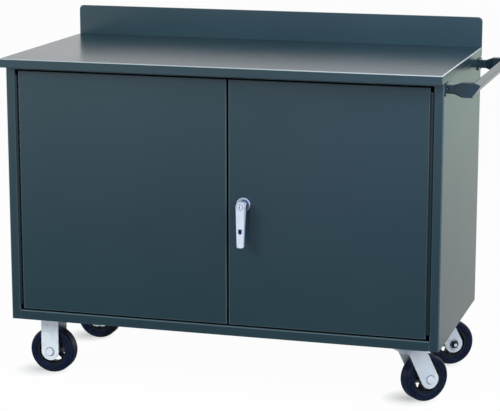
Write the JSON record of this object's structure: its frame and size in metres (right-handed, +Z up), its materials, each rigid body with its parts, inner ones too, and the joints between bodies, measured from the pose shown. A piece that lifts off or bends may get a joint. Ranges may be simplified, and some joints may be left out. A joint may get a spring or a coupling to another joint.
{
  "type": "mobile industrial workbench",
  "caption": "Mobile steel bench cabinet: folded worktop with a low backsplash, hinged lockable doors over an inside shelf, a push handle on one end, rigid and swivel casters.",
  "frame": {"origin": "on the floor below the middle of the overall plan", "axes": "+X along the bench towards the push handle, +Y from the doors to the back, +Z up"},
  "size_m": [1.306, 0.61, 0.999],
  "materials": {
    "charcoal_enamel": "semi-gloss baked enamel",
    "handle_enamel": "semi-gloss baked enamel",
    "hinge_enamel": "semi-gloss baked enamel",
    "zinc_plate": "bright zinc plate",
    "chrome_plate": "polished",
    "guide_plastic": "moulded matte",
    "tyre_rubber": "smooth black rubber",
    "cast_core": "dark painted casting"
  },
  "bodies": {
    "bench": {"back_panel": "charcoal_enamel", "backsplash": "charcoal_enamel", "caster_bolts": "zinc_plate", "door_catch": "zinc_plate", "floor_panel": "charcoal_enamel", "front_rail": "charcoal_enamel", "handle_bracket_front": "handle_enamel", "handle_bracket_rear": "handle_enamel", "handle_grip": "handle_enamel", "handle_screws": "handle_enamel", "header_rail": "charcoal_enamel", "hinge_pins": "zinc_plate", "left_hinge_frame_leaf": "hinge_enamel", "left_side": "charcoal_enamel", "right_hinge_frame_leaf": "hinge_enamel", "right_side": "charcoal_enamel", "rigid_front_axle": "zinc_plate", "rigid_front_fork": "zinc_plate", "rigid_rear_axle": "zinc_plate", "rigid_rear_fork": "zinc_plate", "shelf": "charcoal_enamel", "shelf_clips": "zinc_plate", "swivel_front_kingpin": "zinc_plate", "swivel_front_plate": "zinc_plate", "swivel_front_race": "zinc_plate", "swivel_rear_kingpin": "zinc_plate", "swivel_rear_plate": "zinc_plate", "swivel_rear_race": "zinc_plate", "worktop": "charcoal_enamel", "worktop_stiffeners": "charcoal_enamel"},
    "door_left": {"left_door": "charcoal_enamel", "left_door_stiffener": "charcoal_enamel", "left_hinge_door_leaf": "hinge_enamel", "catch_strike": "zinc_plate"},
    "door_right": {"right_door": "charcoal_enamel", "right_door_stiffener": "charcoal_enamel", "right_hinge_door_leaf": "hinge_enamel", "lock_rose": "chrome_plate", "rod_guides": "guide_plastic"},
    "lock_handle": {"lock_lever": "chrome_plate", "lock_shank": "chrome_plate", "latch_cam": "zinc_plate", "cam_screw": "zinc_plate"},
    "key_plug": {"lock_plug": "chrome_plate"},
    "upper_latch": {"upper_rod": "zinc_plate"},
    "lower_latch": {"lower_rod": "zinc_plate"},
    "front_swivel": {"swivel_front_fork": "zinc_plate", "swivel_front_axle": "zinc_plate"},
    "rear_swivel": {"swivel_rear_fork": "zinc_plate", "swivel_rear_axle": "zinc_plate"},
    "rigid_front_wheel": {"rigid_front_tyre": "tyre_rubber", "rigid_front_core": "cast_core"},
    "rigid_rear_wheel": {"rigid_rear_tyre": "tyre_rubber", "rigid_rear_core": "cast_core"},
    "swivel_front_wheel": {"swivel_front_tyre": "tyre_rubber", "swivel_front_core": "cast_core"},
    "swivel_rear_wheel": {"swivel_rear_tyre": "tyre_rubber", "swivel_rear_core": "cast_core"}
  },
  "joints": [
    {"name": "left_door_hinge", "type": "hinge", "parent": "bench", "child": "door_left", "pos_m": [-0.6212, -0.265, 0.54125], "axis": [0, 0, -1], "range_deg": [0, 170]},
    {"name": "right_door_hinge", "type": "hinge", "parent": "bench", "child": "door_right", "pos_m": [0.5342, -0.265, 0.54125], "axis": [0, 0, 1], "range_deg": [0, 170]},
    {"name": "lever_turn", "type": "hinge", "parent": "door_right", "child": "lock_handle", "pos_m": [0.0283, -0.265, 0.54125], "axis": [0, -1, 0], "range_deg": [0, 90]},
    {"name": "key_turn", "type": "hinge", "parent": "lock_handle", "child": "key_plug", "pos_m": [0.0283, -0.265, 0.54125], "axis": [0, -1, 0], "range_deg": [0, 90]},
    {"name": "upper_rod_slide", "type": "slide", "parent": "door_right", "child": "upper_latch", "axis": [0, 0, 1], "range_m": [0, 0.0255]},
    {"name": "lower_rod_slide", "type": "slide", "parent": "door_right", "child": "lower_latch", "axis": [0, 0, -1], "range_m": [0, 0.0255]},
    {"name": "front_swivel_turn", "type": "hinge", "parent": "bench", "child": "front_swivel", "pos_m": [0.472, -0.167, 0.145], "axis": [0, 0, 1], "continuous": true},
    {"name": "rear_swivel_turn", "type": "hinge", "parent": "bench", "child": "rear_swivel", "pos_m": [0.472, 0.204, 0.145], "axis": [0, 0, 1], "continuous": true},
    {"name": "rigid_front_spin", "type": "hinge", "parent": "bench", "child": "rigid_front_wheel", "pos_m": [-0.566, -0.167, 0.065], "axis": [0, 1, 0], "continuous": true},
    {"name": "rigid_rear_spin", "type": "hinge", "parent": "bench", "child": "rigid_rear_wheel", "pos_m": [-0.566, 0.204, 0.065], "axis": [0, 1, 0], "continuous": true},
    {"name": "swivel_front_spin", "type": "hinge", "parent": "front_swivel", "child": "swivel_front_wheel", "pos_m": [0.50199, -0.13904, 0.065], "axis": [-0.682, 0.7314, 0], "continuous": true},
    {"name": "swivel_rear_spin", "type": "hinge", "parent": "rear_swivel", "child": "swivel_rear_wheel", "pos_m": [0.50677, 0.22573, 0.065], "axis": [-0.5299, 0.848, 0], "continuous": true}
  ],
  "couplings": [
    {"joint": "upper_rod_slide", "follows": "lever_turn", "m_per_rad": 0.016205},
    {"joint": "lower_rod_slide", "follows": "lever_turn", "m_per_rad": 0.016205}
  ]
}
